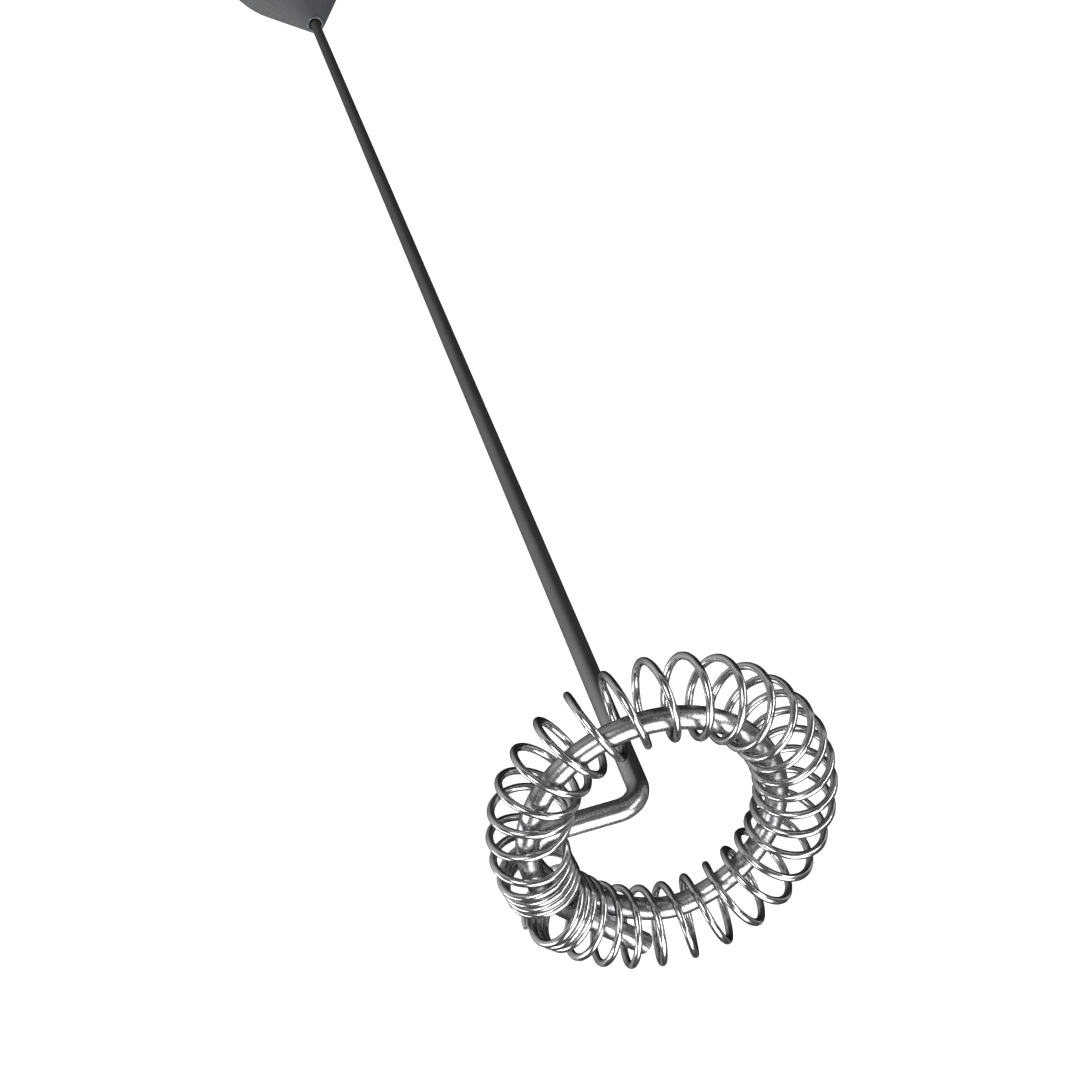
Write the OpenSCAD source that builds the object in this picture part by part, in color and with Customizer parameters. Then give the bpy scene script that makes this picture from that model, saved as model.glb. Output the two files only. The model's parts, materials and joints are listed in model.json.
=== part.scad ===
// Battery hand frother, standing on its end cap with the whisk upwards.
// Origin: middle of the foot pad's underside. +Z runs from the handle to the whisk, and the button faces -Y.

/* [Whisk] */
// Diameter of the bent steel wire
wire_d = 1.5; // [1.2:0.1:1.8]
// Free length of the shaft, from the nose tip to the middle of the ring
shaft_l = 174.5; // [120:0.5:220]
// Radius of the ring, to the middle of the wire
ring_r = 8.36; // [8.3:0.02:10.3]
// How far the radial arm lies under the ring
arm_drop = 1.3; // [1.25:0.05:1.35]
// Radius of the bend between the shaft and the arm
bend_r = 1.8; // [1.2:0.1:3]
// Radius of the bend between the arm and the ring
turn_in_r = 2.2; // [1.5:0.1:2.4]
// Length of the straight tail that leaves the ring
tail_l = 7.2; // [3:0.1:7.4]

/* [Coil spring on the ring] */
// Diameter of the spring wire
coil_wire_d = 0.52; // [0.4:0.02:0.52]
// Room inside a turn, between the ring wire and the spring wire
turn_room = 1.49; // [1.49:0.01:1.6]

/* [Cells] */
// Diameter of one cell
cell_d = 10.5; // [8:0.1:14.5]
// Length of one cell with its nub
cell_l = 44.5; // [36:0.5:54]
// Gap between the two cells
cell_gap = 0.2; // [0.1:0.1:1]

/* [Handle] */
// Wall of the battery sleeve
sleeve_wall = 1.25; // [1:0.05:2]
// Wall of the nose cone
nose_wall = 1.4; // [1.2:0.1:2]
// Rim of the tray outside the cells
tray_rim = 0.7; // [0.6:0.1:1.5]
// Radius of the nose tip
tip_r = 1.8; // [1.7:0.1:3]
// Growth of the nose radius for each millimetre of length
nose_slope = 0.235; // [0.2:0.005:0.3]
// Radius of the long curve between the nose and the straight grip
shoulder_r = 55; // [40:1:70]
// Width of the button's face
button_w = 6; // [5:0.2:6.4]
// Distance between the middles of the button's round ends
button_span = 5.2; // [3:0.2:6]
// Travel of the button
button_travel = 0.8; // [0.5:0.1:0.9]

/* [Motor] */
// Diameter of the motor can
can_d = 15.6; // [14:0.2:17]
// Width of the can across its flats
can_flats = 12.8; // [12:0.2:14]
// Length of the can
can_h = 18; // [16:0.5:24]
// Diameter of the motor shaft
rotor_d = 2; // [1.5:0.1:2.3]

/* [Hidden] */
$fn = 64;

// Clearances
running_fit = 0.05;   // round shaft in its bush
seated_fit = 0.03;    // piece fixed in another
slide_fit = 0.25;     // tray in the sleeve, button in its slot
seam = 0.15;          // seam between the sleeve and the nose
air = 0.4;            // room round the turning core of the motor

// Radii of the handle, from the cells outwards
cell_r = cell_d / 2;
cell_x = cell_r + cell_gap / 2;
tray_r = cell_x + cell_r + tray_rim;
sleeve_in_r = tray_r + slide_fit;
body_r = sleeve_in_r + sleeve_wall;
nose_in_r = body_r - nose_wall;
edge = 0.8;

// Heights, from the foot upwards
foot_h = 1.2;
foot_proud = 0.5;
cap_flange_h = 3;
cap_plug_h = 4;
tray_floor = 1.6;
strip_t = 0.3;
cell_nub_h = 1;
cell_nub_d = 3.8;
cell_spring_h = 3.2;
bulkhead_h = 2.9;
flange_h = 1.2;
terminal_room = 1.8;
bell_h = 4;
sleeve_z = foot_proud + cap_flange_h;
tray_z = sleeve_z + cap_plug_h + 0.7;
bay_z = tray_z + tray_floor;
bay_h = 2 * strip_t + cell_spring_h + cell_l;
bulkhead_z = bay_z + bay_h;
nose_z = bulkhead_z + bulkhead_h;
bell_z = nose_z + flange_h + terminal_room;
can_z = bell_z + bell_h;
can_top = can_z + can_h;
can_r = can_d / 2;
can_wall = 0.35;
flat_y = can_flats / 2;

// The nose: a straight taper, then a long curve into the straight grip
taper_angle = atan(nose_slope);
taper_l = (body_r - shoulder_r * (1 - cos(taper_angle)) - tip_r) / nose_slope;
nose_l = taper_l + shoulder_r * sin(taper_angle);
tip_over_can = can_top + (can_r + 0.2 + nose_wall - tip_r) / nose_slope;
tip_z = max(tip_over_can, nose_z + nose_l + 2);
function nose_r(t) = t < taper_l ? tip_r + nose_slope * t
    : t < nose_l ? body_r - shoulder_r * (1 - cos(asin((nose_l - t) / shoulder_r)))
    : body_r;
shoulder_steps = [for (i = [0:8]) taper_l + (nose_l - taper_l) * i / 8];
collar_h = 2;
collar_r = wire_d / 2 + 0.55;
collar_edge = 0.15;
tip_top = tip_z + collar_h;
tip_hole_r = wire_d / 2 + 0.2;

// Seats in the nose tip, measured down from the tip
bush_top_t = 6;
bush_l = 7;
seal_h = 2.6;
bush_r = wire_d / 2 + 0.9;
seal_r = wire_d / 2 + 1.9;
cavity_t = bush_top_t + bush_l + seal_h;

// Button and switch, measured outwards from the motor's flat
switch_base_t = 0.55;
contact_t = 0.15;
leaf_room = 0.25;
button_flange_t = 0.7;
button_proud = 0.7;
button_z = can_z + 6.4;
base_y = flat_y + seated_fit;
strip_y = base_y + switch_base_t;
flange_y = strip_y + contact_t + leaf_room + button_travel;
button_r = button_w / 2;
flange_lip = 0.9;

// Turning parts
coupling_r = 2.2;
coupling_h = 14;
coupling_z = can_top + 2.6;
wire_grip = 7;
core_r = 5.4;
magnet_in_r = core_r + air;
core_h = 8.6;
core_z = can_z + 4.4;
pole_w = 1.6;
winding_w = 3.6;
pole_tip_t = 0.9;
winding_over = 0.8;
commutator_r = 2;
commutator_h = 3;
commutator_z = can_z + 0.4;

// Screws
screw_d = 1.5;
screw_head_d = 2.8;
screw_head_h = 1;
screw_l = 7.5;
boss_r = 1.7;
screw_y = nose_in_r - boss_r - 0.2;

// Whisk ring: its centre is a little off the shaft, and its plane leans a little
ring_z = tip_top + shaft_l;
ring_shift = [-0.15, 0.43];
ring_lean = [0.18, 0.31];
ring_lift = wire_d - arm_drop - 0.08;
tail_angle = 39.5;
tail_rise = 0.02;
rise_start = 45;
rise_span = 55;

// Coil spring: the line through the middles of its turns is a leaning oval round the ring
coil_turns = 35;
closed_turns = 3;
turn_r = (wire_d + coil_wire_d) / 2 + max(turn_room, 1.04 + 0.3 * wire_d);
coil_r = ring_r + 0.32 + 0.27 * wire_d;
coil_shift = [-0.83, 0.815];
coil_oval = 0.37;
coil_oval_angle = 62;
coil_drop = 0.515;
coil_lean = 0.977;
coil_lean_angle = 116;
coil_start = 11;
coil_end = -319.2;
coil_bunch = 7.05 / wire_d;
closed_pitch = coil_wire_d + 0.06;
arm_gap_angle = -8.85;
arm_gap_width = 7.2;
arm_gap_push = 180 / PI * (0.92 * wire_d + coil_wire_d / 2 - 0.571) / coil_r;
start_squeeze = 0.162 * min(max((1.8 - wire_d) / 0.3, 0), 1);

// ---------- helpers ----------
function unit(v) = v / norm(v);
function ease(x) = let (u = min(max(x, 0), 1)) u * u * (3 - 2 * u);
function tangents(p) = [for (i = [0:len(p) - 1])
    unit(p[min(i + 1, len(p) - 1)] - p[max(i - 1, 0)])];
// A normal carried along the path without twist
function carried(t, n0) = [for (i = 0, n = n0; i < len(t);
    i = i + 1, n = i < len(t) ? unit(n - (n * t[i]) * t[i]) : n) n];

// Round wire swept along a path of points
module sweep(path, r, sides, n0) {
    t = tangents(path);
    n = carried(t, unit(n0 - (n0 * t[0]) * t[0]));
    last = len(path) - 1;
    points = [for (i = [0:last]) let (b = cross(t[i], n[i]))
        for (k = [0:sides - 1]) path[i] + r * (cos(360 * k / sides) * n[i] + sin(360 * k / sides) * b)];
    walls = [for (i = [0:last - 1], k = [0:sides - 1]) let (m = (k + 1) % sides)
        for (f = [[i * sides + k, (i + 1) * sides + k, (i + 1) * sides + m],
            [i * sides + k, (i + 1) * sides + m, i * sides + m]]) f];
    foot = [for (k = [0:sides - 1]) k];
    head = [for (k = [sides - 1:-1:0]) last * sides + k];
    polyhedron(points, concat([foot, head], walls));
}

// Plate standing across Y, drawn as seen from the front, from y_in to y_out
module across_y(y_in, y_out) {
    translate([0, -y_in, 0]) rotate([90, 0, 0]) linear_extrude(y_out - y_in) children();
}

module pill(r, span) {
    translate([0, span / 2]) circle(r);
    translate([0, -span / 2]) circle(r);
    square([2 * r, span], center = true);
}

module tube(r_out, r_in, h) {
    linear_extrude(h) difference() {
        circle(r_out);
        circle(r_in);
    }
}

module flatted(r, half_flat) {
    intersection() {
        circle(r);
        square([3 * r, 2 * half_flat], center = true);
    }
}

// Compression spring with its axis along Z
module small_spring(r_low, r_high, wire_r, h, turns) {
    steps = 12;
    path = [for (i = [0:turns * steps]) let (u = i / (turns * steps), r = r_low + (r_high - r_low) * u)
        [r * cos(360 * turns * u), r * sin(360 * turns * u), wire_r + (h - 2 * wire_r) * u]];
    sweep(path, wire_r, 6, [1, 0, 0]);
}

// ---------- handle ----------
module battery_sleeve() {
    color("#3c3d41") translate([0, 0, sleeve_z]) rotate_extrude($fn = 96)
        polygon([[sleeve_in_r, 0], [body_r, 0], [body_r, nose_z - sleeve_z - seam],
            [sleeve_in_r, nose_z - sleeve_z - seam]]);
}

module end_cap() {
    plug_r = sleeve_in_r - seated_fit;
    pad_r = body_r - 2.4;
    color("#2b2c2f") rotate_extrude($fn = 96) difference() {
        union() {
            translate([0, foot_proud]) square([body_r - edge, cap_flange_h]);
            translate([0, foot_proud + edge]) square([body_r, cap_flange_h - edge]);
            translate([body_r - edge, foot_proud + edge]) circle(edge, $fn = 32);
            translate([0, foot_proud]) square([plug_r, cap_flange_h + cap_plug_h]);
        }
        translate([-1, -1]) square([pad_r + 1 + seated_fit, 1 + foot_h]);
        translate([-1, sleeve_z]) square([plug_r - 1.2 + 1, cap_plug_h + 1]);
        translate([-2, -2]) square([2, 20]);
    }
}

module foot_pad() {
    color("#1d1d1f") rotate_extrude($fn = 96)
        polygon([[0, 0], [body_r - 3, 0], [body_r - 2.4, 0.6], [body_r - 2.4, foot_h], [0, foot_h]]);
}

// ---------- nose ----------
module nose_profile(grow) {
    polygon(concat(
        [[0, tip_top], [collar_r - collar_edge + grow, tip_top]],
        [for (i = [0:8]) [collar_r + grow + (tip_r - collar_r) * i * i / 64,
            tip_top - collar_edge - (collar_h - collar_edge) * i / 8]],
        [for (t = shoulder_steps) [nose_r(t) + grow, tip_z - t]],
        [[body_r + grow, nose_z], [0, nose_z]]));
}

module nose_cavity() {
    polygon(concat(
        [[0, tip_z - cavity_t], [nose_r(cavity_t) - nose_wall, tip_z - cavity_t]],
        [for (t = shoulder_steps) [nose_r(t) - nose_wall, tip_z - t]],
        [[nose_in_r, nose_z - 1], [0, nose_z - 1]]));
}

module nose_cone() {
    color("#53545a") difference() {
        union() {
            rotate_extrude($fn = 96) difference() {
                nose_profile(0);
                nose_cavity();
                square([tip_hole_r, 3 * tip_z]);
                square([bush_r, tip_z - bush_top_t]);
                square([seal_r, tip_z - bush_top_t - bush_l]);
            }
            intersection() {
                for (side = [-1, 1])
                    translate([0, side * screw_y, nose_z + flange_h + 0.1]) cylinder(r = boss_r, h = 5.6);
                translate([0, 0, nose_z]) cylinder(r = nose_in_r + nose_wall / 2, h = 9);
            }
            for (side = [-1, 1])
                translate([-boss_r / 2, side * (nose_in_r - 0.4) - 0.5, nose_z + flange_h + 0.1])
                    cube([boss_r, 1, 5.6]);
        }
        for (side = [-1, 1])
            translate([0, side * screw_y, nose_z]) cylinder(d = screw_d + 2 * seated_fit, h = 6);
        translate([0, 0, button_z]) across_y(flange_y - 1, body_r + 3) pill(button_r + slide_fit, button_span);
    }
}

module shaft_bush() {
    color("#e8e6df") translate([0, 0, tip_z - bush_top_t - bush_l + seated_fit])
        tube(bush_r - seated_fit, wire_d / 2 + running_fit, bush_l - 2 * seated_fit);
}

module splash_seal() {
    lip_r = wire_d / 2 + running_fit;
    out_r = seal_r - seated_fit;
    color("#3a3a3a") translate([0, 0, tip_z - cavity_t]) rotate_extrude()
        polygon([[lip_r + 0.7, 0], [out_r, 0], [out_r, seal_h - seated_fit], [lip_r, seal_h - seated_fit],
            [lip_r, seal_h - 0.5], [lip_r + 0.7, seal_h - 0.9], [lip_r + 0.7, 0.9], [lip_r, 0.5], [lip_r, 0.2]]);
}

// ---------- chassis ----------
module cell_bay() {
    for (side = [-1, 1]) translate([side * cell_x, 0]) circle(cell_r + 0.15);
}

module chassis() {
    rib_w = 6.8;
    groove_r = 1.1;
    cradle_in = can_r + 0.15;
    tab_slot = [1.9, 0.7];
    color("#d9dadb") difference() {
        union() {
            translate([0, 0, tray_z]) cylinder(r = tray_r, h = tray_floor);
            translate([0, 0, tray_z]) linear_extrude(bulkhead_z - tray_z + 1) difference() {
                flatted_rib(rib_w);
                cell_bay();
            }
            translate([0, 0, bulkhead_z]) cylinder(r = tray_r, h = bulkhead_h);
            translate([0, 0, bulkhead_z + bulkhead_h - 0.5])
                cylinder(r = nose_in_r - seated_fit - 0.05, h = flange_h + 0.5);
            translate([0, 0, nose_z]) intersection() {
                tube(cradle_in + 1.2, cradle_in, can_z + 2 - nose_z);
                translate([-20, -4.6, 0]) cube([40, 9.2, 20]);
            }
        }
        translate([0, 0, bulkhead_z + 1.3]) rotate_extrude() translate([tray_r - groove_r, 0]) square([2, 1.4]);
        for (side = [-1, 1]) translate([0, side * screw_y, 0]) {
            translate([0, 0, bulkhead_z - 10]) cylinder(d = screw_head_d + 0.4, h = 10 + 0.3 + screw_head_h);
            translate([0, 0, bulkhead_z]) cylinder(d = screw_d + 0.2, h = 10);
        }
        for (side = [-1, 1])
            translate([side * cell_x - tab_slot[0] / 2, -tab_slot[1] / 2, bulkhead_z - 1])
                cube([tab_slot[0], tab_slot[1], bulkhead_h + flange_h + 2]);
    }
}

module flatted_rib(w) {
    intersection() {
        circle(tray_r);
        square([w, 3 * tray_r], center = true);
    }
}

module chassis_ring() {
    wire_r = 0.62;
    color("#151515") translate([0, 0, bulkhead_z + 2]) rotate_extrude($fn = 96)
        translate([sleeve_in_r - wire_r - 0.06, 0]) circle(wire_r, $fn = 24);
}

module chassis_screws() {
    color("silver") for (side = [-1, 1]) translate([0, side * screw_y, bulkhead_z + 0.3]) difference() {
        union() {
            cylinder(d = screw_head_d, h = screw_head_h);
            cylinder(d = screw_d, h = screw_l);
        }
        for (turn = [0, 90]) rotate(turn) translate([-0.8, -0.15, -1]) cube([1.6, 0.3, 1.5]);
    }
}

// ---------- cells and contacts ----------
// The left cell stands with its nub up, and the right one is its mirror image about the bay's middle
module flipped() {
    translate([0, 0, 2 * bay_z + bay_h]) mirror([0, 0, 1]) children();
}

module cell() {
    body_h = cell_l - cell_nub_h;
    translate([0, 0, bay_z + strip_t + cell_spring_h]) rotate_extrude() union() {
        square([cell_r - 0.4, body_h]);
        translate([0, 0.4]) square([cell_r, body_h - 0.8]);
        translate([cell_r - 0.4, 0.4]) circle(0.4, $fn = 24);
        translate([cell_r - 0.4, body_h - 0.4]) circle(0.4, $fn = 24);
        square([cell_nub_d / 2, cell_l]);
    }
}

module cell_left() {
    color("#c9a24a") translate([-cell_x, 0, 0]) cell();
}

module cell_right() {
    color("#c9a24a") translate([cell_x, 0, 0]) flipped() cell();
}

module cell_spring() {
    translate([-cell_x, 0, bay_z + strip_t]) small_spring(3.2, 1.9, 0.3, cell_spring_h, 3);
}

module cell_springs() {
    color("silver") {
        cell_spring();
        flipped() mirror([1, 0, 0]) cell_spring();
    }
}

module cell_plates() {
    tab = [1.5, 0.3];
    color("silver") for (side = [-1, 1]) translate([side * cell_x, 0, bulkhead_z - strip_t]) {
        cylinder(r = 3.8, h = strip_t);
        translate([-tab[0] / 2, -tab[1] / 2, 0]) cube([tab[0], tab[1], strip_t + bulkhead_h + flange_h + 0.5]);
    }
}

module bridge_strip() {
    color("silver") translate([0, 0, bay_z]) linear_extrude(strip_t) {
        for (side = [-1, 1]) translate([side * cell_x, 0]) circle(3.8);
        square([2 * cell_x, 1.3], center = true);
    }
}

// ---------- motor ----------
module motor_can() {
    boss_h = 1.3;
    color("#b9bcc0") difference() {
        union() {
            translate([0, 0, can_z]) linear_extrude(can_h) flatted(can_r, flat_y);
            translate([0, 0, can_top]) cylinder(r = 2.9, h = boss_h);
        }
        translate([0, 0, can_z - 1]) linear_extrude(can_h + 0.5) flatted(can_r - can_wall, flat_y - can_wall);
        translate([0, 0, can_top - 2]) cylinder(r = 2, h = 2 + boss_h - 0.3);
        translate([0, 0, can_top]) cylinder(r = rotor_d / 2 + 0.3, h = 4);
    }
}

module motor_end_bell() {
    color("#e9e9e6") difference() {
        union() {
            translate([0, 0, bell_z]) linear_extrude(bell_h - 0.02) flatted(can_r, flat_y);
            translate([0, 0, can_z - 0.5]) linear_extrude(1.4)
                flatted(can_r - can_wall - seated_fit, flat_y - can_wall - seated_fit);
        }
        translate([0, 0, bell_z + 2.4]) cylinder(r = 4.9, h = 6);
        translate([0, 0, bell_z - 1]) cylinder(r = 2, h = 5);
        for (side = [-1, 1]) translate([side * 5.6 - 0.9, -0.45, bell_z - 1]) cube([1.8, 0.9, 3]);
    }
}

module motor_magnets() {
    color("#4a4a4c") translate([0, 0, core_z - 1]) linear_extrude(core_h + 2) difference() {
        intersection() {
            flatted(can_r - can_wall - seated_fit, flat_y - can_wall - 1.6);
            difference() {
                square(40, center = true);
                square([6, 40], center = true);
            }
        }
        circle(magnet_in_r);
    }
}

module motor_bush(h) {
    tube(2 - seated_fit, rotor_d / 2 + running_fit, h);
}

module motor_bush_front() {
    color("#b08d57") translate([0, 0, can_top - 1]) motor_bush(1.95);
}

module motor_bush_rear() {
    color("#b08d57") translate([0, 0, bell_z + 0.1]) motor_bush(2.6);
}

module brushes() {
    color("#b5733c") for (side = [-1, 1]) rotate(side * 90) translate([0, 0, commutator_z + 0.3]) {
        translate([commutator_r + running_fit, -0.8, 0]) cube([1.6, 1.6, 1.8]);
        translate([commutator_r + running_fit + 1.5, -0.6, -1.9]) cube([0.25, 1.2, 3.6]);
    }
}

module motor_terminals() {
    color("silver") for (side = [-1, 1]) translate([side * 5.6, 0, 0]) difference() {
        translate([-0.7, -0.2, nose_z + flange_h + 0.75]) cube([1.4, 0.4, bell_z + 1.6 - nose_z - flange_h - 0.75]);
        translate([0, 1, nose_z + flange_h + 1.3]) rotate([90, 0, 0]) cylinder(r = 0.3, h = 2, $fn = 16);
    }
}

// ---------- wiring and switch ----------
module lead(points) {
    sweep(points, 0.4, 8, [0.2, 0.3, 1]);
}

// One lead, from a solder tag round the motor to the switch
function lead_path(side) = let (low = nose_z + flange_h + 0.45, y = -(flat_y + 1.9)) [
    [side * 6.33, 0, low + 0.5], [side * 6.7, 0, low + 0.5], [side * 7.1, -0.9, low + 0.2], [side * 6.8, -2.4, low],
    [side * 6, -4.1, low], [side * 5.1, -5.4, low], [side * 4.1, -6.5, low], [side * 3, -7.4, low + 0.3],
    [side * 2.4, y, low + 1.4], [side * 2.3, y, low + 3.2], [side * 2.3, y + 0.25, low + 4.1],
    [side * 2.3, y + 0.7, low + 4.4], [side * 2.3, -strip_y - seated_fit, low + 4.4]];

module lead_wires() {
    color("#a33333") lead(lead_path(1));
    color("#222222") lead(lead_path(-1));
}

module switch_base() {
    color("#efefef") translate([-3.1, -strip_y, can_z - 1.2]) cube([6.2, switch_base_t, 13.4]);
}

module contact_strip() {
    color("#c8a03c") translate([-0.7, -strip_y - contact_t, can_z + 4]) cube([1.4, contact_t, 6]);
}

module contact_leaf() {
    foot_y = strip_y + seated_fit;
    top_y = flange_y - 0.05;
    color("#c8a03c") translate([-0.9, 0, 0]) rotate([90, 0, 90]) linear_extrude(1.8) polygon([
        [-foot_y, can_z], [-foot_y, can_z + 1.6], [-top_y + 0.15, can_z + 7], [-top_y + 0.15, can_z + 8.4],
        [-top_y, can_z + 8.4], [-top_y, can_z + 7], [-foot_y - 0.3, can_z + 1.6], [-foot_y - 0.3, can_z]]);
}

module button_spring() {
    gap = flange_y - strip_y;
    color("silver") translate([0, -strip_y - 0.02, button_z + 3.6]) rotate([90, 0, 0])
        small_spring(1.2, 1.2, 0.14, gap - 0.04, 3);
}

module button() {
    color("#2b2c2f") union() {
        translate([0, 0, button_z]) across_y(flange_y, flange_y + button_flange_t)
            pill(button_r + flange_lip, button_span);
        intersection() {
            translate([0, 0, button_z]) across_y(flange_y, body_r + 3) pill(button_r, button_span);
            rotate_extrude($fn = 96) nose_profile(button_proud);
        }
    }
}

// ---------- turning parts ----------
// Height of the ring wire against the ring's middle, at an angle from the arm
function ring_height(a) = let (low = 1 - ease((a - rise_start) / rise_span), high = ease((a - 320) / 50))
    (ring_lean[0] * cos(a) + ring_lean[1] * sin(a)) * (1 - low) - arm_drop * low + ring_lift * high;
function ring_point(a) = [ring_shift[0] + ring_r * cos(a), ring_shift[1] + ring_r * sin(a), ring_height(a)];

function whisk_path() = let (
    turn_end = asin((turn_in_r - ring_shift[1]) / (ring_r - turn_in_r)),
    arm_end = ring_shift[0] + (ring_r - turn_in_r) * cos(turn_end),
    ring_end = 360 + tail_angle,
    tail_from = ring_point(ring_end),
    bend_from = -arm_drop - bend_r)
    concat(
        [[0, 0, bend_from - 1]],
        [for (i = [0:9]) [bend_r * (1 - cos(10 * i)), 0, bend_from + bend_r * sin(10 * i)]],
        [for (i = [1:3]) [bend_r + (arm_end - bend_r) * i / 3, 0, -arm_drop]],
        [for (i = [1:10]) let (a = -90 + (turn_end + 90) * i / 10)
            [arm_end + turn_in_r * cos(a), turn_in_r + turn_in_r * sin(a), -arm_drop]],
        [for (i = [1:84]) ring_point(turn_end + (ring_end - turn_end) * i / 84)],
        [for (i = [1:4]) let (s = tail_l * i / 4)
            tail_from + [-s * sin(tail_angle), s * cos(tail_angle), s * tail_rise]]);

module whisk_wire() {
    from_z = coupling_z + coupling_h - wire_grip;
    to_z = ring_z - arm_drop - bend_r;
    color("#8f9194") union() {
        translate([0, 0, from_z]) cylinder(d = wire_d, h = to_z - from_z);
        translate([0, 0, ring_z]) sweep(whisk_path(), wire_d / 2 - 0.01, 12, [0, 1, 0]);
    }
}

// Angle of a turn along the ring, before it leans away from the arm
function turn_angle(v) = coil_start - (coil_start - coil_end) * v + coil_bunch * sin(720 * v);

function coil_point(u) = let (
    open = coil_turns - 2 * closed_turns,
    v = min(max((u - closed_turns) / open, 0), 1),
    stack = closed_pitch * (max(closed_turns - u, 0) - max(u - coil_turns + closed_turns, 0)),
    x = (turn_angle(v) - arm_gap_angle) / arm_gap_width,
    a = turn_angle(v) + arm_gap_push * x * exp(0.5 - 0.5 * x * x) * (1 - cos(360 * u)) / 2,
    squeeze = start_squeeze * (1 - ease((u - 2) / 5.1)),
    r = coil_r - squeeze + coil_oval * cos(2 * (a - coil_oval_angle)) + (turn_r - squeeze) * cos(360 * u))
    [coil_shift[0] + r * cos(a) - stack * sin(a),
        coil_shift[1] + r * sin(a) + stack * cos(a),
        coil_lean * cos(a - coil_lean_angle) - coil_drop + (turn_r - squeeze) * sin(360 * u)];

module coil_spring() {
    steps = 18;
    path = [for (i = [0:coil_turns * steps]) coil_point(i / steps)];
    color("#a9abae") translate([0, 0, ring_z]) sweep(path, coil_wire_d / 2, 8, [0, 0, 1]);
}

module coupling() {
    color("#c9a86a") translate([0, 0, coupling_z]) difference() {
        cylinder(r = coupling_r, h = coupling_h);
        translate([0, 0, -1]) cylinder(d = rotor_d + 2 * seated_fit, h = 1 + coupling_h - wire_grip - 1);
        translate([0, 0, coupling_h - wire_grip]) cylinder(d = wire_d + 2 * seated_fit, h = wire_grip + 1);
    }
}

module motor_shaft() {
    shaft_top = coupling_z + coupling_h - wire_grip - 1.2;
    color("#9a9c9f") translate([0, 0, bell_z + 0.4]) cylinder(d = rotor_d, h = shaft_top - bell_z - 0.4);
}

module core_outline() {
    circle(2.2);
    for (turn = [0:120:240]) rotate(turn) {
        translate([0, -pole_w / 2]) square([core_r - 0.4, pole_w]);
        intersection() {
            difference() {
                circle(core_r);
                circle(core_r - pole_tip_t);
            }
            polygon([[0, 0], [2 * core_r, -2.2 * core_r], [2 * core_r, 2.2 * core_r]]);
        }
    }
}

module armature() {
    color("#7d7f82") translate([0, 0, core_z]) linear_extrude(core_h) difference() {
        core_outline();
        circle(rotor_d / 2 + seated_fit);
    }
}

module windings() {
    from_r = 2.5;
    to_r = sqrt(pow(core_r - pole_tip_t - 0.05, 2) - pow(winding_w / 2, 2));
    color("#b5602c") for (turn = [0:120:240]) rotate(turn) difference() {
        translate([from_r, -winding_w / 2, core_z - winding_over])
            cube([to_r - from_r, winding_w, core_h + 2 * winding_over]);
        translate([from_r - 1, -pole_w / 2 - 0.05, core_z - 0.05])
            cube([to_r - from_r + 2, pole_w + 0.1, core_h + 0.1]);
    }
}

module commutator() {
    color("#b87333") translate([0, 0, commutator_z]) linear_extrude(commutator_h) difference() {
        circle(commutator_r);
        circle(rotor_d / 2 + seated_fit);
        for (turn = [0:120:240]) rotate(turn) translate([0, -0.12]) square([3, 0.24]);
    }
}

battery_sleeve();
end_cap();
foot_pad();
nose_cone();
shaft_bush();
splash_seal();
chassis();
chassis_ring();
chassis_screws();
cell_left();
cell_right();
cell_springs();
cell_plates();
bridge_strip();
motor_can();
motor_end_bell();
motor_magnets();
motor_bush_front();
motor_bush_rear();
brushes();
motor_terminals();
lead_wires();
switch_base();
contact_strip();
contact_leaf();
button_spring();
button();
whisk_wire();
coil_spring();
coupling();
motor_shaft();
armature();
windings();
commutator();
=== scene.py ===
"""A battery hand frother standing on a pale studio floor, whisk upwards."""
import json
import math

import bmesh
import bpy
from mathutils import Matrix, Vector


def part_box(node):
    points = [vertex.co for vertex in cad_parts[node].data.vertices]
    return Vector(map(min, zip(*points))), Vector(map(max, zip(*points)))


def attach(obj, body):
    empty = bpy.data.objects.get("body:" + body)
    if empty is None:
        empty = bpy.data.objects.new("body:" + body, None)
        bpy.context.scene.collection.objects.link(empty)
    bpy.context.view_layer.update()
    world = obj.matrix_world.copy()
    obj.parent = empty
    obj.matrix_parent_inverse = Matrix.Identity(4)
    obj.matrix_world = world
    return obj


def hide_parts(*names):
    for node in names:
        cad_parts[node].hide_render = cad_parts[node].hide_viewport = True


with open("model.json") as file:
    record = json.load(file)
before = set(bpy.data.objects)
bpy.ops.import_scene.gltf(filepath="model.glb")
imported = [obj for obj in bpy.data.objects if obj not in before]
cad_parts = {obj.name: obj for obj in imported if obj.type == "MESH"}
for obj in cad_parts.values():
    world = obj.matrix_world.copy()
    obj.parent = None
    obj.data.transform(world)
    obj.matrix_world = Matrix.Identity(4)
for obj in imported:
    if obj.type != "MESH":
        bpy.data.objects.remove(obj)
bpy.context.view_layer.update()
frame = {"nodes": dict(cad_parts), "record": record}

MM = 0.001


# ---------- places on the frother, read from its frame ----------
def low(node):
    return Vector(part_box(node)[0])


def high(node):
    return Vector(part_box(node)[1])


tip_z = high("nose_cone").z
body_r = high("nose_cone").x
sleeve_z = low("battery_sleeve").z
sleeve_top_z = high("battery_sleeve").z
shaft_l = 174.5 * MM
ring_z = tip_z + shaft_l


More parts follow.
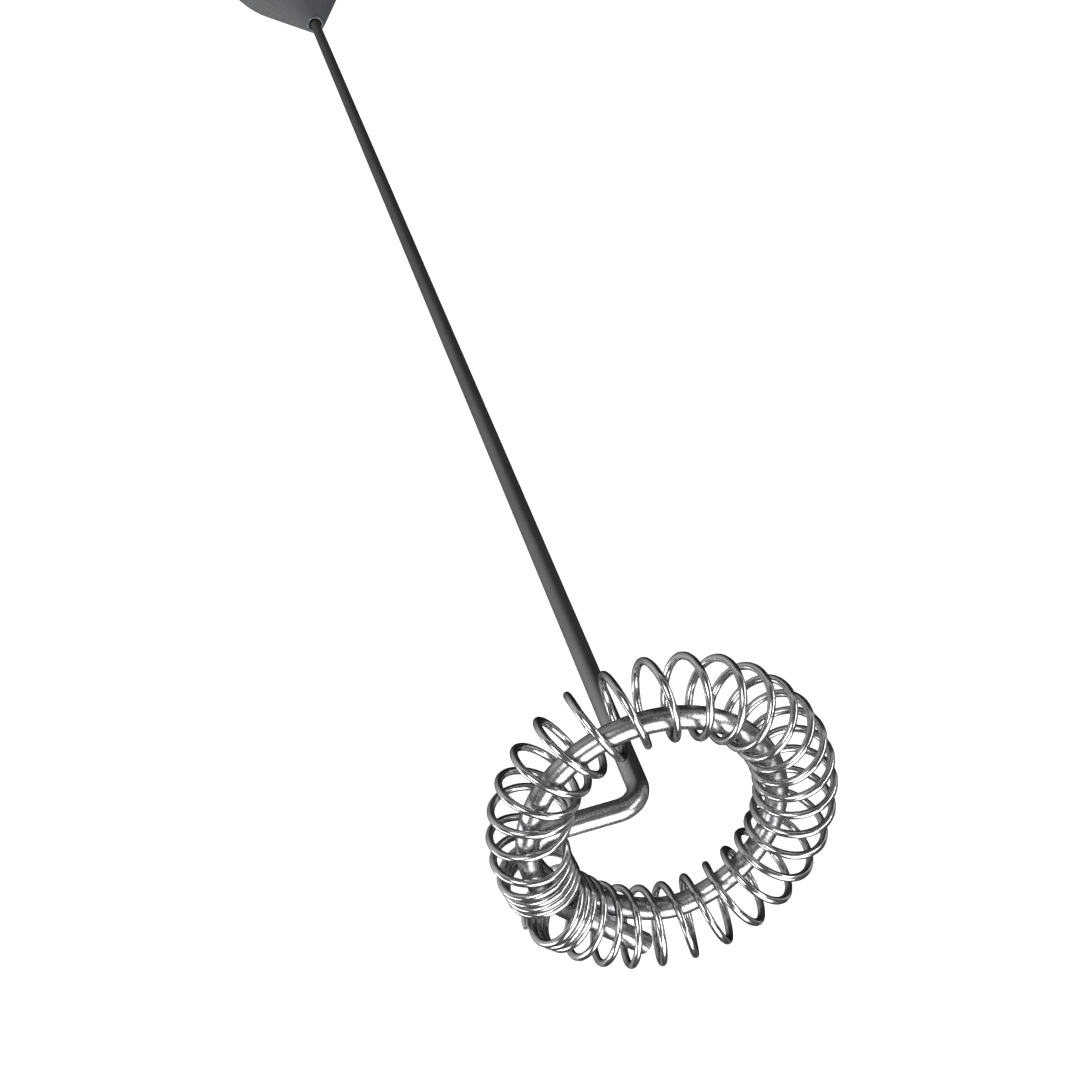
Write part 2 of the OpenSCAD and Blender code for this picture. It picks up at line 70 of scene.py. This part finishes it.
# ---------- camera ----------
# It looks down on the whisk from close by, and the handle runs away behind it
def place_camera():
    across = Vector((-0.96023, 0.14119, 0.24090))
    down = Vector((0.25643, 0.78729, 0.56073))
    ahead = across.cross(down).normalized()
    down = ahead.cross(across).normalized()
    place = Vector((12.77, -72.00, 63.83)) * MM + Vector((0, 0, ring_z))
    data = bpy.data.cameras.new("camera")
    data.lens = 49.95
    data.sensor_width = 36
    data.clip_start = 0.005
    camera = bpy.data.objects.new("camera", data)
    turn = Matrix((across.normalized(), -down, -ahead)).transposed().to_4x4()
    camera.matrix_world = Matrix.Translation(place) @ turn
    bpy.context.collection.objects.link(camera)
    bpy.context.scene.camera = camera


place_camera()


# ---------- shader sums ----------
class Shade:
    """A socket of a material. Sums written on it add Math nodes, and node() adds any other."""

    def __init__(self, tree, socket=None):
        self.tree = tree
        self.socket = socket

    def node(self, kind, settings=None, inputs=None, out=0):
        made = self.tree.nodes.new(kind)
        for name, value in (settings or {}).items():
            setattr(made, name, value)
        for key, value in (inputs or {}).items():
            if isinstance(value, Shade):
                self.tree.links.new(value.socket, made.inputs[key])
            else:
                made.inputs[key].default_value = value
        return Shade(self.tree, made.outputs[out] if len(made.outputs) else None)

    def maths(self, operation, *values):
        return self.node("ShaderNodeMath", {"operation": operation}, dict(enumerate(values)))

    def __add__(self, other):
        return self.maths("ADD", self, other)

    def __radd__(self, other):
        return self.maths("ADD", other, self)

    def __sub__(self, other):
        return self.maths("SUBTRACT", self, other)

    def __rsub__(self, other):
        return self.maths("SUBTRACT", other, self)

    def __mul__(self, other):
        return self.maths("MULTIPLY", self, other)

    def __rmul__(self, other):
        return self.maths("MULTIPLY", other, self)


def grey(value):
    return (value, value, value, 1)


def colour(red, green, blue):
    return (red, green, blue, 1)


def places(shade):
    """Object coordinates."""
    return shade.node("ShaderNodeTexCoord", out="Object")


def noise(shade, scale, stretch=(1, 1, 1), detail=3.0, roughness=0.5):
    """Soft noise from 0 to 1, with so many patches to the metre, long where the stretch factor is small."""
    spot = shade.node("ShaderNodeMapping", {}, {"Vector": places(shade), "Scale": stretch})
    return shade.node("ShaderNodeTexNoise", {},
                      {"Vector": spot, "Scale": scale, "Detail": detail, "Roughness": roughness}, out="Fac")


def cells(shade, scale, stretch=(1, 1, 1)):
    spot = shade.node("ShaderNodeMapping", {}, {"Vector": places(shade), "Scale": stretch})
    return shade.node("ShaderNodeTexVoronoi", {}, {"Vector": spot, "Scale": scale}, out="Distance")


def ease(shade, value, start, end):
    """0 below start, 1 above end, smooth between."""
    return shade.node("ShaderNodeMapRange", {"interpolation_type": "SMOOTHSTEP"},
                      {"Value": value, "From Min": start, "From Max": end})


def height(shade):
    """The height above the floor, in metres."""
    return shade.node("ShaderNodeSeparateXYZ", {}, {"Vector": places(shade)}, out="Z")


def blend(shade, factor, first, second):
    """A colour between two."""
    return shade.node("ShaderNodeMix", {"data_type": "RGBA"}, {0: factor, 6: first, 7: second}, out=2)


def bump(shade, value, distance, strength=1.0):
    return shade.node("ShaderNodeBump", {}, {"Height": value, "Distance": distance, "Strength": strength})


def finish(name, dress):
    """A material. dress(shade) gives the Principled shader's sockets."""
    made = bpy.data.materials.new(name)
    made.use_nodes = True
    made.node_tree.nodes.clear()
    shade = Shade(made.node_tree)
    surface = shade.node("ShaderNodeBsdfPrincipled", {}, dress(shade))
    shade.node("ShaderNodeOutputMaterial", {}, {"Surface": surface})
    return made


# ---------- finishes ----------
def drawn_whisk_steel(shade):
    # The base colour is painted darker along the long shaft and lighter at the ring end: painted shade on the
    # shaft and a painted highlight on the ring, not a difference in the steel. The ring end is also smoother.
    streaks = noise(shade, 5200, (1, 1, 0.03), 4, 0.6)
    patches = noise(shade, 340, (1, 1, 0.35), 3, 0.55)
    painted_highlight_at_ring = ease(shade, height(shade), ring_z - 22 * MM, ring_z - 3 * MM)
    # Painted shade along the shaft, painted highlight at the ring end
    main_tone = blend(shade, patches, colour(0.24, 0.235, 0.235), colour(0.37, 0.365, 0.365))
    bright = blend(shade, patches, colour(0.29, 0.29, 0.295), colour(0.66, 0.66, 0.67))
    rough = 0.36 + 0.12 * streaks - 0.14 * painted_highlight_at_ring
    return {"Base Color": blend(shade, painted_highlight_at_ring, main_tone, bright), "Metallic": 1.0, "Roughness": rough,
            "Specular Tint": grey(0.25), "Normal": bump(shade, streaks, 0.012 * MM)}


def bright_spring_steel(shade):
    lines = noise(shade, 2600, (1, 1, 1), 4, 0.6)
    stain = noise(shade, 420, (1, 1, 1), 3, 0.6)
    base = blend(shade, stain, grey(0.42), grey(0.76))
    return {"Base Color": base, "Metallic": 1.0, "Roughness": 0.13 + 0.12 * lines,
            "Specular Tint": grey(0.25), "Normal": bump(shade, lines, 0.006 * MM)}


def glossy_grey_plastic(shade):
    speckle = noise(shade, 2400, (1, 1, 1), 2)
    swirl = noise(shade, 130, (1, 1, 1), 3)
    base = blend(shade, swirl, colour(0.060, 0.062, 0.070), colour(0.080, 0.082, 0.092))
    return {"Base Color": base, "Roughness": 0.13 + 0.06 * swirl, "Specular IOR Level": 0.50,
            "Normal": bump(shade, speckle, 0.010 * MM)}


def satin_black_plastic(shade):
    grain = cells(shade, 2600)
    swirl = noise(shade, 160)
    base = blend(shade, swirl, colour(0.020, 0.020, 0.022), colour(0.034, 0.034, 0.037))
    return {"Base Color": base, "Roughness": 0.42 + 0.10 * swirl, "Normal": bump(shade, grain, 0.02 * MM)}


def matt_rubber(shade, base_grey):
    grain = noise(shade, 3600, (1, 1, 1), 4, 0.7)
    dust = noise(shade, 220, (1, 1, 1), 4, 0.6)
    base = blend(shade, dust, grey(base_grey), grey(base_grey * 1.9))
    return {"Base Color": base, "Roughness": 0.72 + 0.16 * dust, "Normal": bump(shade, grain, 0.025 * MM)}


def moulded_plastic(shade, light, dark):
    swirl = noise(shade, 210, (1, 1, 0.4), 3)
    grain = noise(shade, 3000, (1, 1, 1), 2)
    return {"Base Color": blend(shade, swirl, dark, light), "Roughness": 0.38 + 0.14 * swirl,
            "Normal": bump(shade, grain, 0.012 * MM)}


def plated_metal(shade, light, dark, rough, stretch=(1, 1, 1)):
    brushed = noise(shade, 2800, stretch, 4, 0.6)
    cloud = noise(shade, 300, (1, 1, 1), 3)
    return {"Base Color": blend(shade, cloud, dark, light), "Metallic": 1.0,
            "Roughness": rough + 0.14 * brushed, "Normal": bump(shade, brushed, 0.008 * MM)}


def stacked_plates(shade):
    plates = shade.node("ShaderNodeTexWave", {"bands_direction": "Z"},
                        {"Vector": places(shade), "Scale": 640.0, "Distortion": 0.0}, out="Fac")
    base = blend(shade, plates, grey(0.10), grey(0.34))
    return {"Base Color": base, "Metallic": 1.0, "Roughness": 0.38 + 0.2 * plates,
            "Normal": bump(shade, plates, 0.05 * MM)}


def wound_copper(shade):
    wound = {"Vector": places(shade), "Scale": 1250.0, "Distortion": 0.6, "Detail": 1.0}
    strands = shade.node("ShaderNodeTexWave", {"bands_direction": "X"}, wound, out="Fac")
    base = blend(shade, strands, colour(0.20, 0.055, 0.018), colour(0.62, 0.24, 0.10))
    return {"Base Color": base, "Metallic": 1.0, "Roughness": 0.30 + 0.16 * strands,
            "Normal": bump(shade, strands, 0.06 * MM)}


def cell_jacket(shade):
    # A plain dark jacket with a pale band at the nub end of each cell, and bare steel at both ends
    part = shade.node("ShaderNodeSeparateXYZ", {}, {"Vector": places(shade)}, out="X")
    right = ease(shade, part, -0.01 * MM, 0.01 * MM)
    left_box, right_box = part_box("cell_left"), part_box("cell_right")
    from_nub_left = left_box[1][2] - height(shade)
    from_nub_right = height(shade) - right_box[0][2]
    along = from_nub_left * (1 - right) + from_nub_right * right
    dark = ease(shade, along, 13.9 * MM, 14.1 * MM)
    bare = 1 - ease(shade, along, 1.25 * MM, 1.35 * MM) + ease(shade, along, 44.1 * MM, 44.2 * MM)
    wear = noise(shade, 900, (1, 1, 1), 4, 0.6)
    main_tone = blend(shade, dark, colour(0.52, 0.55, 0.58), colour(0.030, 0.060, 0.110))
    base = blend(shade, bare, main_tone, grey(0.62))
    return {"Base Color": base, "Metallic": bare * 0.5 + 0.5, "Roughness": 0.24 + 0.10 * wear,
            "Normal": bump(shade, wear, 0.008 * MM)}


def vinyl_jacket(shade):
    part = shade.node("ShaderNodeSeparateXYZ", {}, {"Vector": places(shade)}, out="X")
    side = ease(shade, part, -0.01 * MM, 0.01 * MM)
    ripple = noise(shade, 900, (1, 1, 1), 3)
    base = blend(shade, side, colour(0.02, 0.02, 0.02), colour(0.42, 0.02, 0.02))
    return {"Base Color": base, "Roughness": 0.35 + 0.12 * ripple, "Normal": bump(shade, ripple, 0.02 * MM)}


def rubber(base_grey):
    return lambda shade: matt_rubber(shade, base_grey)


def plastic(light, dark):
    return lambda shade: moulded_plastic(shade, light, dark)


def plating(light, dark, rough, stretch=(1, 1, 1)):
    return lambda shade: plated_metal(shade, light, dark, rough, stretch)


FINISHES = {
    "whisk_steel": finish("drawn_whisk_steel", drawn_whisk_steel),
    "spring_steel": finish("bright_spring_steel", bright_spring_steel),
    "grip_plastic": finish("glossy_grip_plastic", glossy_grey_plastic),
    "nose_plastic": finish("glossy_nose_plastic", glossy_grey_plastic),
    "trim_plastic": finish("satin_trim_plastic", satin_black_plastic),
    "rubber_black": finish("black_rubber", rubber(0.014)),
    "rubber_grey": finish("grey_rubber", rubber(0.045)),
    "bush_plastic": finish("bush_plastic", plastic(colour(0.82, 0.80, 0.74), colour(0.72, 0.70, 0.63))),
    "chassis_plastic": finish("chassis_plastic", plastic(grey(0.62), grey(0.52))),
    "bell_plastic": finish("bell_plastic", plastic(colour(0.80, 0.80, 0.77), colour(0.70, 0.70, 0.67))),
    "cell_jacket": finish("cell_jacket", cell_jacket),
    "plated_steel": finish("nickel_plate", plating(colour(0.74, 0.72, 0.68), colour(0.56, 0.55, 0.52), 0.2)),
    "shaft_steel": finish("ground_steel", plating(grey(0.60), grey(0.44), 0.16, (0.05, 0.05, 1))),
    "motor_steel": finish("zinc_plate", plating(colour(0.62, 0.64, 0.66), colour(0.44, 0.46, 0.49), 0.26)),
    "core_steel": finish("stacked_plates", stacked_plates),
    "magnet": finish("dark_ferrite", plastic(grey(0.060), grey(0.030))),
    "bronze": finish("sintered_bronze", plating(colour(0.56, 0.38, 0.18), colour(0.36, 0.24, 0.11), 0.36)),
    "copper": finish("wound_copper", wound_copper),
    "contact_brass": finish("rolled_brass", plating(colour(0.80, 0.60, 0.27), colour(0.62, 0.44, 0.18), 0.2)),
    "lead_jacket": finish("vinyl_jacket", vinyl_jacket),
}

slots = {part["node"]: part["material_slot"] for part in frame["record"]["subparts"]}
for node, thing in frame["nodes"].items():
    thing.data.materials.clear()
    thing.data.materials.append(FINISHES[slots[node]])


# ---------- making pieces ----------
def keep(name, mesh, node, body, sharp=32):
    """A finished mesh becomes the piece that stands for a node and rides on a body."""
    mesh.shade_smooth()
    mesh.set_sharp_from_angle(angle=math.radians(sharp))
    piece = bpy.data.objects.new(name, mesh)
    bpy.context.collection.objects.link(piece)
    mesh.materials.clear()
    mesh.materials.append(FINISHES[slots[node]])
    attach(piece, body)
    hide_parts(node)
    return piece


def mesh_of(work, name):
    bmesh.ops.recalc_face_normals(work, faces=work.faces)
    mesh = bpy.data.meshes.new(name)
    work.to_mesh(mesh)
    work.free()
    return mesh


def turned(name, profile, steps=128):
    """A closed outline of (radius, height) points, in millimetres, turned about the frother's axis."""
    work = bmesh.new()
    corners = [work.verts.new((r * MM, 0, z * MM)) for r, z in profile]
    edges = [work.edges.new((a, b)) for a, b in zip(corners, corners[1:] + corners[:1])]
    if profile[0][0] == 0 and profile[-1][0] == 0:
        edges.pop()
    edges = [e for e in edges if e.is_valid]
    bmesh.ops.spin(work, geom=corners + edges, cent=(0, 0, 0), axis=(0, 0, 1), dvec=(0, 0, 0),
                   angle=math.tau, steps=steps, use_merge=True, use_normal_flip=False, use_duplicate=False)
    bmesh.ops.remove_doubles(work, verts=work.verts, dist=0.0005 * MM)
    return mesh_of(work, name)


def rounded(corners, size, steps=5):
    """The outline with each listed corner rounded. A corner is (radius, height, rounding)."""
    out = []
    count = len(corners)
    for i, (r, z, round_by) in enumerate(corners):
        here = Vector((r, z))
        before = Vector(corners[i - 1][:2]) - here
        after = Vector(corners[(i + 1) % count][:2]) - here
        if not round_by:
            out.append((r, z))
            continue
        start = here + before.normalized() * round_by * size
        end = here + after.normalized() * round_by * size
        for k in range(steps + 1):
            t = k / steps
            spot = start * (1 - t) ** 2 + here * 2 * t * (1 - t) + end * t ** 2
            out.append((max(spot.x, 0), spot.y))
    return out


def wire(name, points, radius, sides, thin_ends=1.0):
    """Round wire along a line of points, in metres, with its two cut ends dressed by a small chamfer."""
    curve = bpy.data.curves.new(name, "CURVE")
    curve.dimensions = "3D"
    curve.twist_mode = "MINIMUM"
    curve.bevel_depth = radius
    curve.bevel_resolution = sides
    curve.use_fill_caps = True
    spline = curve.splines.new("POLY")
    spline.points.add(len(points) - 1)
    for spot, point in zip(points, spline.points):
        point.co = (*spot, 1)
    for end in (0, -1):
        spline.points[end].radius = thin_ends
    thing = bpy.data.objects.new(name, curve)
    bpy.context.collection.objects.link(thing)
    evaluated = thing.evaluated_get(bpy.context.evaluated_depsgraph_get())
    mesh = bpy.data.meshes.new_from_object(evaluated)
    bpy.data.objects.remove(thing)
    work = bmesh.new()
    work.from_mesh(mesh)
    bmesh.ops.remove_doubles(work, verts=work.verts, dist=0.0005 * MM)
    return mesh_of(work, name)


def softened(node, width, body):
    """A copy of a node's solid with its edges broken by a small rounding."""
    work = bmesh.new()
    work.from_mesh(frame["nodes"][node].data)
    bmesh.ops.remove_doubles(work, verts=work.verts, dist=0.0008 * MM)
    bmesh.ops.dissolve_limit(work, angle_limit=math.radians(0.8), verts=work.verts, edges=work.edges)
    edges = [e for e in work.edges if len(e.link_faces) == 2 and e.calc_face_angle(0) > math.radians(28)]
    bmesh.ops.bevel(work, geom=edges, offset=width, offset_type="OFFSET", affect="EDGES", segments=2,
                    profile=0.5, clamp_overlap=True, material=-1)
    keep(node + "_finished", mesh_of(work, node), node, body)


# ---------- the whisk ----------
WIRE_R = 0.75
RING_R = 8.36
RING_SHIFT = Vector((-0.15, 0.43, 0))
ARM_DROP = 1.3
BEND_R = 1.8
TURN_IN_R = 2.2
TAIL_ANGLE = 39.5
TAIL_L = 7.2


def smooth_step(value):
    u = min(max(value, 0), 1)
    return u * u * (3 - 2 * u)


def ring_point(degrees):
    a = math.radians(degrees)
    still_low = 1 - smooth_step((degrees - 45) / 55)
    lifted = smooth_step((degrees - 320) / 50)
    lean = 0.18 * math.cos(a) + 0.31 * math.sin(a)
    up = lean * (1 - still_low) - ARM_DROP * still_low + 0.12 * lifted
    return RING_SHIFT + Vector((RING_R * math.cos(a), RING_R * math.sin(a), up))


def whisk_line():
    """From the coupling up the shaft, along the arm, once round the ring and out along the tail."""
    turn_end = math.asin((TURN_IN_R - RING_SHIFT.y) / (RING_R - TURN_IN_R))
    arm_end = RING_SHIFT.x + (RING_R - TURN_IN_R) * math.cos(turn_end)
    bottom = (low("whisk_wire").z - ring_z) / MM
    bend_z = -ARM_DROP - BEND_R
    line = [Vector((0, 0, bottom)), Vector((0, 0, bottom + 0.15))]
    line += [Vector((0, 0, bottom + (bend_z - bottom) * i / 40)) for i in range(1, 40)]
    for i in range(19):
        a = math.radians(90 * i / 18)
        line.append(Vector((BEND_R * (1 - math.cos(a)), 0, bend_z + BEND_R * math.sin(a))))
    line += [Vector((BEND_R + (arm_end - BEND_R) * i / 6, 0, -ARM_DROP)) for i in range(1, 7)]
    for i in range(1, 19):
        a = -math.pi / 2 + (turn_end + math.pi / 2) * i / 18
        side = TURN_IN_R * math.cos(a)
        line.append(Vector((arm_end + side, TURN_IN_R + TURN_IN_R * math.sin(a), -ARM_DROP)))
    start, end = math.degrees(turn_end), 360 + TAIL_ANGLE
    line += [ring_point(start + (end - start) * i / 190) for i in range(1, 191)]
    along = Vector((-math.sin(math.radians(TAIL_ANGLE)), math.cos(math.radians(TAIL_ANGLE)), 0.02))
    line += [ring_point(end) + along * (TAIL_L * i / 8) for i in range(1, 8)]
    line += [ring_point(end) + along * (TAIL_L - 0.12), ring_point(end) + along * TAIL_L]
    return line


COIL_WIRE_R = 0.26
TURN_R = 2.5
TURNS = 35
CLOSED = 3
CLOSED_PITCH = 2 * COIL_WIRE_R + 0.06
COIL_R = RING_R + 0.725
COIL_SHIFT = Vector((-0.83, 0.815, -0.515))
COIL_OVAL, COIL_OVAL_ANGLE = 0.37, math.radians(62)
COIL_LEAN, COIL_LEAN_ANGLE = 0.977, math.radians(116)
COIL_START, COIL_SPAN, COIL_BUNCH = 11, 330.2, 4.7
ARM_GAP_ANGLE, ARM_GAP_WIDTH, ARM_GAP_PUSH = -8.85, 7.2, 6.77
START_SQUEEZE = 0.162


def coil_point(u):
    """A point on the spring after u turns."""
    phi = math.tau * u
    v = min(max((u - CLOSED) / (TURNS - 2 * CLOSED), 0), 1)
    stack = CLOSED_PITCH * (max(CLOSED - u, 0) - max(u - TURNS + CLOSED, 0))
    plain = COIL_START - COIL_SPAN * v + COIL_BUNCH * math.sin(math.radians(720 * v))
    gap = (plain - ARM_GAP_ANGLE) / ARM_GAP_WIDTH
    degrees = plain + ARM_GAP_PUSH * gap * math.exp(0.5 - 0.5 * gap * gap) * (1 - math.cos(phi)) / 2
    a = math.radians(degrees)
    squeeze = START_SQUEEZE * (1 - smooth_step((u - 2) / 5.1))
    turn_r = TURN_R - squeeze
    r = COIL_R - squeeze + COIL_OVAL * math.cos(2 * (a - COIL_OVAL_ANGLE)) + turn_r * math.cos(phi)
    up = COIL_LEAN * math.cos(a - COIL_LEAN_ANGLE) + turn_r * math.sin(phi)
    out, round_ring = Vector((math.cos(a), math.sin(a), 0)), Vector((-math.sin(a), math.cos(a), 0))
    return COIL_SHIFT + out * r + round_ring * stack + Vector((0, 0, up))


def at_ring(line):
    return [spot * MM + Vector((0, 0, ring_z)) for spot in line]


keep("whisk", wire("whisk", at_ring(whisk_line()), WIRE_R * MM, 10, 0.84), "whisk_wire", "rotor")
coil_steps = 42
coil_line = [coil_point(i / coil_steps) for i in range(TURNS * coil_steps + 1)]
keep("coil", wire("coil", at_ring(coil_line), COIL_WIRE_R * MM, 4, 0.8), "coil_spring", "rotor")


# ---------- the grip ----------
GRIP_WALL = 1.25
FOOT_PAD_H = 1.2
SEATED_FIT = 0.03


def grip_sleeve():
    inner = body_r / MM - GRIP_WALL
    outer, foot, top = body_r / MM, sleeve_z / MM, sleeve_top_z / MM
    profile = rounded([(inner, foot, 1), (outer, foot, 1), (outer, top, 1), (inner, top, 1)], 0.18)
    keep("grip", turned("grip", profile, 160), "battery_sleeve", "handle")


def foot_end():
    bottom, top = low("end_cap").z / MM, high("end_cap").z / MM
    outer, plug = body_r / MM, body_r / MM - GRIP_WALL - SEATED_FIT
    pad_r = outer - 2.4
    flange = sleeve_z / MM
    profile = rounded([
        (0, FOOT_PAD_H, 0), (pad_r + SEATED_FIT, FOOT_PAD_H, 0), (pad_r + SEATED_FIT, bottom, 0.3),
        (outer, bottom, 1.6),
        (outer, flange, 0.3), (plug, flange, 0), (plug, top, 0.4), (plug - 1.2, top, 0.4),
        (plug - 1.2, flange, 0.6), (0, flange, 0)], 0.7)
    keep("foot_cap", turned("foot_cap", profile, 160), "end_cap", "handle")
    # Three shallow rings are pressed into the pad so that it grips
    rings = [(0, 0)]
    for middle in (3.0, 5.6, 8.2):
        rings += [(middle - 0.45, 0), (middle - 0.3, 0.22), (middle + 0.3, 0.22), (middle + 0.45, 0)]
    rings += [(pad_r - 0.6, 0), (pad_r - 0.15, 0.18), (pad_r, 0.6), (pad_r, FOOT_PAD_H), (0, FOOT_PAD_H)]
    keep("pad", turned("pad", rings, 128), "foot_pad", "handle")


grip_sleeve()
foot_end()

for part, width, body in [
        ("nose_cone", 0.16, "head"), ("button", 0.35, "button"), ("chassis", 0.12, "head"),
        ("motor_can", 0.25, "head"), ("motor_end_bell", 0.12, "head"), ("coupling", 0.15, "rotor"),
        ("chassis_screws", 0.06, "head"), ("switch_base", 0.06, "head")]:
    softened(part, width * MM, body)


# ---------- floor and lights ----------
def pale_floor(shade):
    mottle = noise(shade, 9, (1, 1, 1), 3)
    return {"Base Color": blend(shade, mottle, grey(0.86), grey(0.90)), "Roughness": 0.62 + 0.1 * mottle}


def dark_cloth(shade):
    side = shade.node("ShaderNodeSeparateXYZ", {}, {"Vector": places(shade)}, out="X")
    near = blend(shade, ease(shade, side, -0.08, 0.12), grey(0.02), grey(0.24))
    return {"Base Color": blend(shade, ease(shade, side, 0.12, 0.40), near, grey(0.42)), "Roughness": 0.9,
            "Specular IOR Level": 0.0}


def studio():
    work = bmesh.new()
    bmesh.ops.create_grid(work, x_segments=2, y_segments=2, size=4.0)
    mesh = bpy.data.meshes.new("floor")
    work.to_mesh(mesh)
    work.free()
    mesh.materials.append(finish("pale_floor", pale_floor))
    floor = bpy.data.objects.new("floor", mesh)
    bpy.context.collection.objects.link(floor)

    # A dark cloth laid round the foot is seen only in reflections, as in a studio, and gives bright steel its
    # dark streaks. It is darker on one side, so that the shaft has a lighter and a darker edge.
    work = bmesh.new()
    bmesh.ops.create_grid(work, x_segments=1, y_segments=1, size=0.9)
    bmesh.ops.translate(work, vec=(0, 0, 0.004), verts=work.verts)
    mesh = bpy.data.meshes.new("dark_cloth")
    work.to_mesh(mesh)
    work.free()
    mesh.materials.append(finish("dark_cloth", dark_cloth))
    cloth = bpy.data.objects.new("dark_cloth", mesh)
    cloth.visible_camera = cloth.visible_shadow = cloth.visible_diffuse = False
    bpy.context.collection.objects.link(cloth)

    aim = Vector((0, 0, ring_z))
    for name, place, size, power in [
            ("overhead", (-0.25, 0.45, 2.1), (1.9, 1.9), 58),
            ("key", (0.55, -0.75, 0.80), (0.45, 0.45), 5),
            ("strip", (-0.60, -0.30, 0.62), (0.12, 0.7), 2.4),
            ("side", (0.85, 0.25, 0.30), (0.25, 0.9), 5)]:
        data = bpy.data.lights.new(name, "AREA")
        data.shape = "RECTANGLE"
        data.size, data.size_y = size
        data.energy = power
        lamp = bpy.data.objects.new(name, data)
        lamp.location = place
        lamp.rotation_euler = (aim - Vector(place)).to_track_quat("-Z", "Y").to_euler()
        bpy.context.collection.objects.link(lamp)

    world = bpy.data.worlds.new("room")
    world.use_nodes = True
    world.node_tree.nodes["Background"].inputs["Color"].default_value = grey(0.30)
    world.node_tree.nodes["Background"].inputs["Strength"].default_value = 0.35
    bpy.context.scene.world = world
    bpy.context.scene.view_settings.view_transform = "Standard"


studio()
